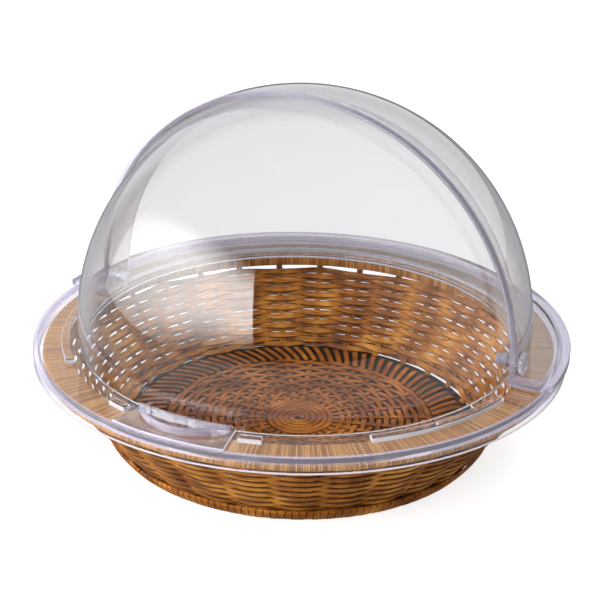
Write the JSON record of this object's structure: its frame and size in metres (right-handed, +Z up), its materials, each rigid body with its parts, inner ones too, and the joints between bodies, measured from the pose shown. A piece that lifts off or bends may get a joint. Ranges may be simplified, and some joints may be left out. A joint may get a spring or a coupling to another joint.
{
  "type": "roll-top display basket",
  "caption": "Round woven basket with a clear ring on its rim and a domed roll-top cover whose front lid swings up and back inside the rear dome.",
  "frame": {"origin": "on the surface that the basket stands on, under the middle of the basket", "axes": "+Z up, -Y towards the lid's handle, +X along the lid's pivot axis towards the right seen from the front"},
  "size_m": [0.3994, 0.3972, 0.2622],
  "materials": {
    "woven_strand": "matt woven plastic strand",
    "rim_strand": "matt wrapped plastic strand",
    "clear_plastic": "clear moulded plastic",
    "pin_plastic": "clear turned plastic"
  },
  "bodies": {
    "basket": {"floor_border": "woven_strand", "floor_mat": "woven_strand", "foot_border": "woven_strand", "rim": "rim_strand", "stake_01": "woven_strand", "stake_02": "woven_strand", "stake_03": "woven_strand", "stake_04": "woven_strand", "stake_05": "woven_strand", "stake_06": "woven_strand", "stake_07": "woven_strand", "stake_08": "woven_strand", "stake_09": "woven_strand", "stake_10": "woven_strand", "stake_11": "woven_strand", "stake_12": "woven_strand", "stake_13": "woven_strand", "stake_14": "woven_strand", "stake_15": "woven_strand", "stake_16": "woven_strand", "stake_17": "woven_strand", "stake_18": "woven_strand", "stake_19": "woven_strand", "stake_20": "woven_strand", "stake_21": "woven_strand", "stake_22": "woven_strand", "stake_23": "woven_strand", "stake_24": "woven_strand", "stake_25": "woven_strand", "stake_26": "woven_strand", "stake_27": "woven_strand", "stake_28": "woven_strand", "stake_29": "woven_strand", "stake_30": "woven_strand", "stake_31": "woven_strand", "weaver": "woven_strand"},
    "cover": {"base_ring": "clear_plastic", "rear_dome": "clear_plastic", "pivot_knob_left": "pin_plastic", "pivot_knob_right": "pin_plastic", "pivot_pin_left": "pin_plastic", "pivot_pin_right": "pin_plastic", "pivot_washer_left": "pin_plastic", "pivot_washer_right": "pin_plastic"},
    "lid": {"front_lid": "clear_plastic"}
  },
  "joints": [
    {"name": "cover_lift", "type": "slide", "parent": "basket", "child": "cover", "axis": [0, 0, 1], "range_m": [0, 0.3]},
    {"name": "lid_hinge", "type": "hinge", "parent": "cover", "child": "lid", "pos_m": [0, 0, 0.09], "axis": [-1, 0, 0], "range_deg": [0, 85]}
  ]
}
